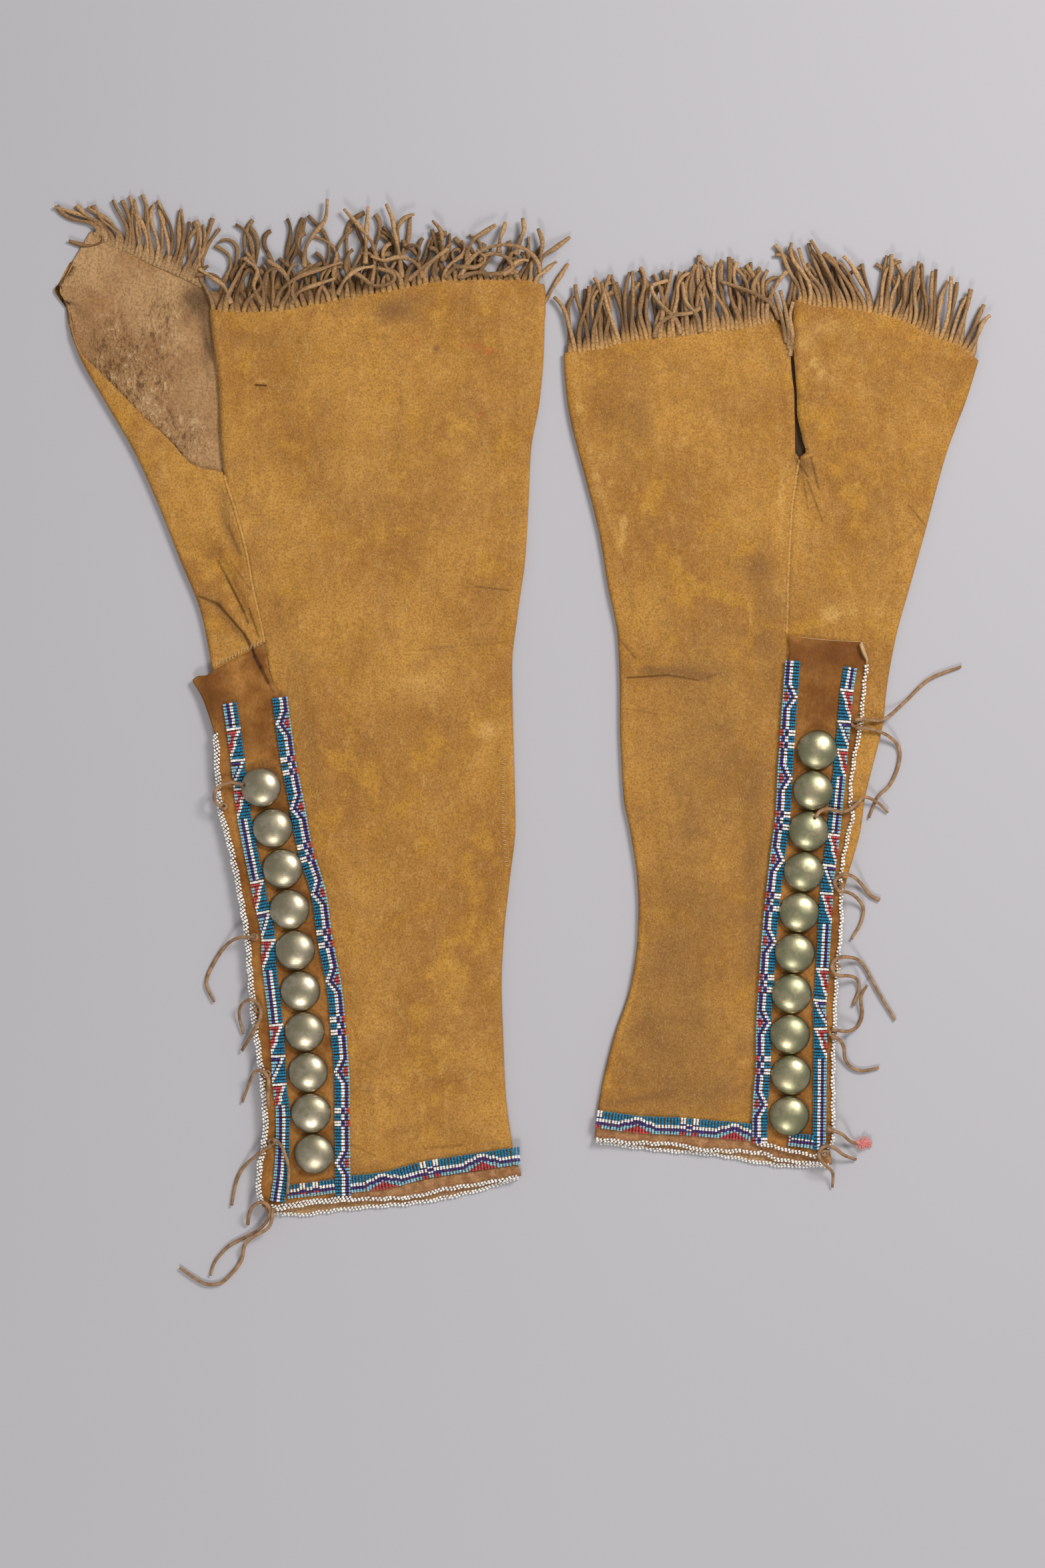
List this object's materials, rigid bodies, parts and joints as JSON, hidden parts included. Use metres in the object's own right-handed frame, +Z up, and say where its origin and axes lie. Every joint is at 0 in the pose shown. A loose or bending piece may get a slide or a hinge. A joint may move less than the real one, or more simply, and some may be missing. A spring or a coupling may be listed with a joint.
{
  "type": "pair of beaded hide leggings",
  "caption": "Pair of yellow ochre hide leggings lying flat, with fringed thigh ends, beaded leather flaps with domed metal buttons, beaded hems and knotted hide thongs.",
  "frame": {"origin": "middle of the pair seen from above, at the level of the surface it lies on", "axes": "+X to the right of the picture, +Y towards the fringed thigh ends, +Z up from the surface"},
  "size_m": [0.5825, 0.6745, 0.0157],
  "materials": {
    "hide": "matte, rubbed",
    "leather": "matte, worn",
    "fringe": "matte",
    "blue_beads": "glossy",
    "white_beads": "glossy",
    "domes": "tarnished, polished on the crown",
    "thongs": "matte"
  },
  "bodies": {
    "root": {"left_dome_01": "domes", "left_dome_02": "domes", "left_dome_03": "domes", "left_dome_04": "domes", "left_dome_05": "domes", "left_dome_06": "domes", "left_dome_07": "domes", "left_dome_08": "domes", "left_dome_09": "domes", "left_dome_10": "domes", "left_edge_beads": "white_beads", "left_flap": "leather", "left_fringe_back": "fringe", "left_fringe_corner": "fringe", "left_fringe_front": "fringe", "left_hem_band": "leather", "left_hem_beads": "white_beads", "left_hide": "hide", "left_lane_foot": "blue_beads", "left_lane_hem": "blue_beads", "left_lane_inner": "blue_beads", "left_lane_outer": "blue_beads", "left_thong_1": "thongs", "left_thong_2": "thongs", "left_thong_3": "thongs", "left_thong_4": "thongs", "left_thong_5": "thongs", "left_thong_6": "thongs", "left_thong_7": "thongs", "left_thong_8": "thongs", "right_dome_01": "domes", "right_dome_02": "domes", "right_dome_03": "domes", "right_dome_04": "domes", "right_dome_05": "domes", "right_dome_06": "domes", "right_dome_07": "domes", "right_dome_08": "domes", "right_dome_09": "domes", "right_dome_10": "domes", "right_edge_beads": "white_beads", "right_flap": "leather", "right_fringe_back": "fringe", "right_fringe_front": "fringe", "right_fringe_wrap": "fringe", "right_hem_band": "leather", "right_hem_beads": "white_beads", "right_hide": "hide", "right_lane_hem": "blue_beads", "right_lane_inner": "blue_beads", "right_lane_outer": "blue_beads", "right_thong_1": "thongs", "right_thong_2": "thongs", "right_thong_3": "thongs", "right_thong_4": "thongs", "right_thong_5": "thongs", "right_thong_6": "thongs", "right_thong_7": "thongs", "right_thong_8": "thongs", "right_thong_9": "thongs"}
  },
  "joints": []
}
